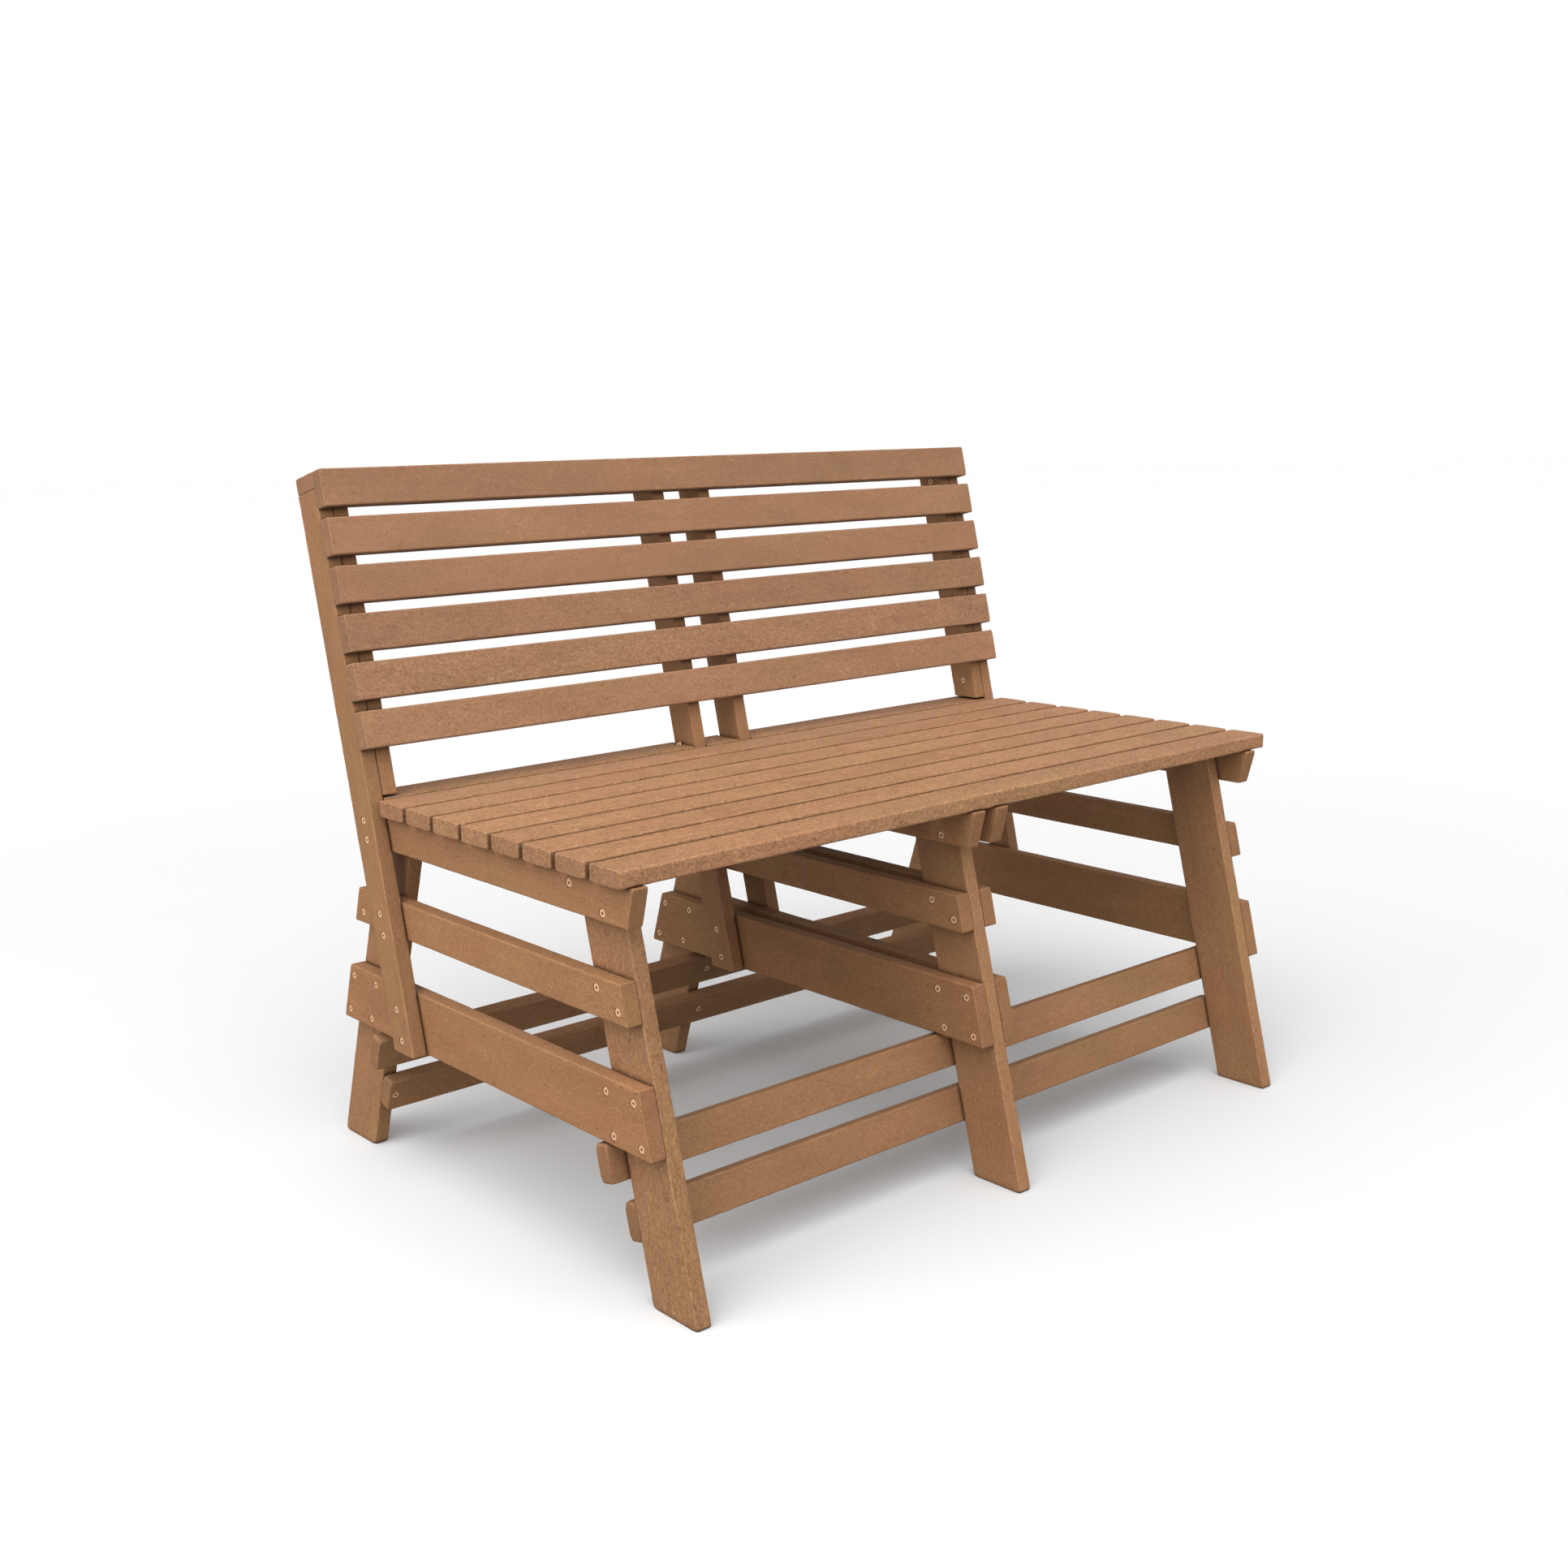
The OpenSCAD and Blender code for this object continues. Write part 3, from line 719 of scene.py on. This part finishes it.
# ------------------------------------------------------------------ screw material
def screw_material():
    """Tan coated screw, with painted shade down in the drive recess and a little dirt in patches.
    """
    s = Tree(bpy.data.materials.new("coated_screw"))
    at = s.vector("ADD", {0: s.coords(), 1: s.attribute("shift", "Vector")})
    socket = s.attribute("socket", "Fac", kind="GEOMETRY")
    fine = s.noise(at, scale=2600, detail=3.0, rough=0.6)
    patch = s.noise(at, scale=320)
    tan, pale_tan = (0.84, 0.47, 0.25, 1), (1.0, 0.62, 0.36, 1)
    worn, shade_and_grime = (0.62, 0.34, 0.18, 1), (0.090, 0.048, 0.026, 1)
    colour = s.mix(fine, tan, pale_tan)
    colour = s.mix(s.ramp(patch, start=0.50, stop=0.75, high=0.30), colour, worn)
    # painted shade down in the drive recess, plus a little dirt in patches
    recess_shade_and_dirt = s.add(socket, s.mul(s.ramp(patch, start=0.4, stop=0.8), 0.06), clamp=True)
    colour = s.mix(recess_shade_and_dirt, colour, shade_and_grime)
    rough = s.add_weighted(0.30, (fine, 0.22), (recess_shade_and_dirt, 0.35))
    metal = s.mul(s.sub(1.0, recess_shade_and_dirt, clamp=True), 0.12)  # only outside the painted recess shade and the dirt
    grain = s.noise(s.vector("SCALE", {0: at, "Scale": 1.0}), scale=1500)
    return s.surface({
        "Base Color": colour,
        "Roughness": rough,
        "Metallic": metal,
        "Normal": s.bump(grain, strength=0.35, distance=0.00012),
    })


# ------------------------------------------------------------------ build the pieces
slat_mat = lumber_material(
    "lumber_slat",
    base=(0.405, 0.212, 0.112, 1),
    dark=(0.235, 0.110, 0.052, 1),
    light=(0.600, 0.345, 0.196, 1),
    reach=0.014,
)
frame_mat = lumber_material(
    "lumber_frame",
    base=(0.380, 0.196, 0.102, 1),
    dark=(0.220, 0.102, 0.048, 1),
    light=(0.565, 0.318, 0.178, 1),
    reach=0.006,
)
screw_mat = screw_material()

BACK_SPECK = {"back_slat_4": 0.95, "back_slat_5": 1.25, "back_slat_6": 0.95}


def look_of(name, rng):
    """Brightness offset, strength of the speckle and colour cast of one board."""
    jitter = float(rng.uniform(-0.045, 0.045))
    # Seat boards are painted brighter and more orange, and back boards dimmer and greyer: painted
    # light for the warmer light that falls on the seat's top.
    if name.startswith(SEAT_BOARDS):
        return jitter + 0.06, 1.60, [1.0, 0.965, 0.905]
    if name.startswith(BACK_BOARDS):
        return jitter - 0.02, BACK_SPECK.get(name, 0.62), [0.985, 0.975, 0.985]
    if "_leg_" in name:
        return jitter + 0.02, 1.40 if name == "front_leg_left" else 0.85, [1.0, 0.985, 0.885]
    if name.startswith("post_"):
        return jitter + 0.02, 0.60, [1.0, 0.965, 0.86]
    if "stretcher" in name:
        return jitter, 0.75, [1.0, 0.985, 0.90]
    return jitter, 0.85, [1.0, 0.950, 0.825]


def random_shift(rng):
    """Offset that gives each piece its own part of the textures."""
    return [float(v) for v in rng.uniform(-5, 5, 3)]


def add_screws(name, screws, rng):
    me = build_screws(name, screws, rng)
    ob = link("screws_" + name.replace("_screws", "").replace("screws_", ""), me)
    me.materials.append(screw_mat)
    ob["shift"] = random_shift(rng)
    return ob


def add_board(name, holes, rng):
    me, axes = board_mesh(name, rng)
    ob = link("lumber_" + name, me)
    mark_arrises_and_ends(me, axes)
    low, high = (np.array(corner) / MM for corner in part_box(name)[:2])
    near = [hole for hole in holes if np.all(hole.low < high) and np.all(hole.high > low)]
    if near:
        cut_holes(ob, near)
    is_slat = name.startswith(SLATS)
    me = ob.data
    me.materials.clear()
    me.materials.append(slat_mat if is_slat else frame_mat)
    for key, axis in zip(("along", "across", "through"), axes):
        ob[key] = [float(v) for v in axis]
    ob["shift"] = random_shift(rng)
    ob["tone"], ob["speck"], ob["cast"] = look_of(name, rng)
    me.polygons.foreach_set("use_smooth", [True] * len(me.polygons))
    me.set_sharp_from_angle(angle=math.radians(40))
    mod = ob.modifiers.new("even_faces", "WEIGHTED_NORMAL")
    mod.keep_sharp = True
    mod.weight = 50
    return ob


screw_groups = {
    name: screw_places(name)
    for name in sorted(NODES)
    if name.endswith("screws") or "_screws_" in name
}
holes = find_holes(screw_groups)
for index, name in enumerate(sorted(NODES)):
    rng = np.random.default_rng(SEED * 1000 + index)
    if name in screw_groups:
        ob = add_screws(name, screw_groups[name], rng)
    else:
        ob = add_board(name, holes, rng)
    ob.data.name = ob.name
    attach(ob, "root")
    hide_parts(name)

# ------------------------------------------------------------------ floor
FLOOR_RADIUS = 30.0
FLOOR_SEGMENTS = 64
FLOOR_BOUNCE = 0.30  # grey of the floor as all but the camera's rays meet it


def grey(value):
    return (value, value, value, 1)


def floor_material():
    s = Tree(bpy.data.materials.new("pale_floor"))
    pos = s.coords()
    colour = s.mix(s.noise(pos, scale=3.0), grey(0.925), grey(0.94))
    # paler away from the bench, so that the floor meets the white background without a line
    distance_squared = s.dot(pos, pos)
    colour = s.mix(s.ramp(distance_squared, start=2.5, stop=9.0), colour, grey(0.99))
    colour = s.mix(s.ray("Is Camera Ray"), grey(FLOOR_BOUNCE), colour)
    return s.surface({"Base Color": colour, "Roughness": 0.9, "Specular IOR Level": 0.1})


bm = bmesh.new()
ring = []
for k in range(FLOOR_SEGMENTS):
    turn = 2 * math.pi * k / FLOOR_SEGMENTS
    ring.append(bm.verts.new((FLOOR_RADIUS * math.cos(turn), FLOOR_RADIUS * math.sin(turn), 0.0)))
bm.faces.new(ring)
floor_me = to_mesh(bm, "floor")
floor_me.materials.append(floor_material())
link("floor", floor_me)

# ------------------------------------------------------------------ world
SKY_OVERHEAD = 0.205   # strength of the sky's light from above
SKY_RISE = 0.86        # how much stronger it is at the horizon
SKY_BLEND_TOP = 0.6    # height on the unit sphere where the rise ends

world = bpy.data.worlds.new("studio")
SCENE.world = world
s = Tree(world)
sky = s.node("ShaderNodeTexCoord").outputs["Generated"]
gradient = s.node("ShaderNodeMapRange", {
    "Value": s.node("ShaderNodeSeparateXYZ", {0: sky}).outputs["Z"],
    "From Min": 0.0,
    "From Max": SKY_BLEND_TOP,
    "To Min": SKY_OVERHEAD + SKY_RISE,
    "To Max": SKY_OVERHEAD,
}).outputs["Result"]
# the camera sees plain white instead of the gradient
lighting, backdrop = (
    s.node("ShaderNodeBackground", {"Color": grey(1), "Strength": strength}).outputs[0]
    for strength in (gradient, 1.0)
)
mixed = s.node("ShaderNodeMixShader", {0: s.ray("Is Camera Ray"), 1: lighting, 2: backdrop})
s.node("ShaderNodeOutputWorld", {"Surface": mixed.outputs[0]})


# ------------------------------------------------------------------ lights
BOX_TARGET = Vector((0, 0, 0.45))


def add_light(data, towards):
    """Light whose back faces the given direction."""
    ob = link(data.name, data)
    ob.rotation_mode = "QUATERNION"
    ob.rotation_quaternion = towards.to_track_quat("Z", "Y")
    return ob


def soft_sun(name, azimuth, elevation, spread, share):
    """Broad light, by its share of the floor's brightness. Azimuth 180 is left, 270 front."""
    a, e = math.radians(azimuth), math.radians(elevation)
    d = Vector((math.cos(e) * math.cos(a), math.cos(e) * math.sin(a), math.sin(e)))
    data = bpy.data.lights.new(name, "SUN")
    data.energy = share * math.pi / d.z
    data.angle = math.radians(spread)
    add_light(data, d)


def softbox(name, place, size, watts):
    """Square light near the bench, aimed at its middle and unseen by the camera."""
    data = bpy.data.lights.new(name, "AREA")
    data.shape = "SQUARE"
    data.size = size
    data.energy = watts
    ob = add_light(data, Vector(place) - BOX_TARGET)
    ob.location = place
    ob.visible_camera = False


soft_sun("soft_left", azimuth=180, elevation=45, spread=60, share=0.226)
soft_sun("soft_front_left", azimuth=225, elevation=45, spread=60, share=0.165)
soft_sun("soft_front", azimuth=270, elevation=45, spread=60, share=0.163)
soft_sun("soft_top", azimuth=0, elevation=90, spread=50, share=0.160)
softbox("box_left", place=(-2.0, 0.1, 1.5), size=1.0, watts=6.0)
softbox("box_front", place=(-0.6, -2.2, 1.9), size=1.2, watts=2.3)
softbox("box_above", place=(-1.2, -0.9, 2.6), size=1.2, watts=5.2)

# ------------------------------------------------------------------ camera
CAMERA_PLACE = (-1.443688, -1.611337, 0.856565)
CAMERA_RIGHT = (0.753804, -0.656875, -0.017172)
CAMERA_AHEAD = (0.641305, 0.741129, -0.198634)

cam_data = bpy.data.cameras.new("camera")
cam_data.sensor_width = 36.0
cam_data.sensor_fit = "HORIZONTAL"
cam_data.lens = 41.391019
cam_data.clip_start = 0.05
cam_data.clip_end = 200.0
cam = link("camera", cam_data)
right = Vector(CAMERA_RIGHT).normalized()
up = right.cross(Vector(CAMERA_AHEAD).normalized()).normalized()
ahead = up.cross(right).normalized()
m = Matrix.Identity(4)
m.col[0] = (*right, 0)
m.col[1] = (*up, 0)
m.col[2] = (*(-ahead), 0)
m.col[3] = (*CAMERA_PLACE, 1)
cam.matrix_world = m
SCENE.camera = cam

SCENE.view_settings.view_transform = "Standard"
SCENE.view_settings.look = "None"
SCENE.view_settings.exposure = 0.0
SCENE.view_settings.gamma = 1.0
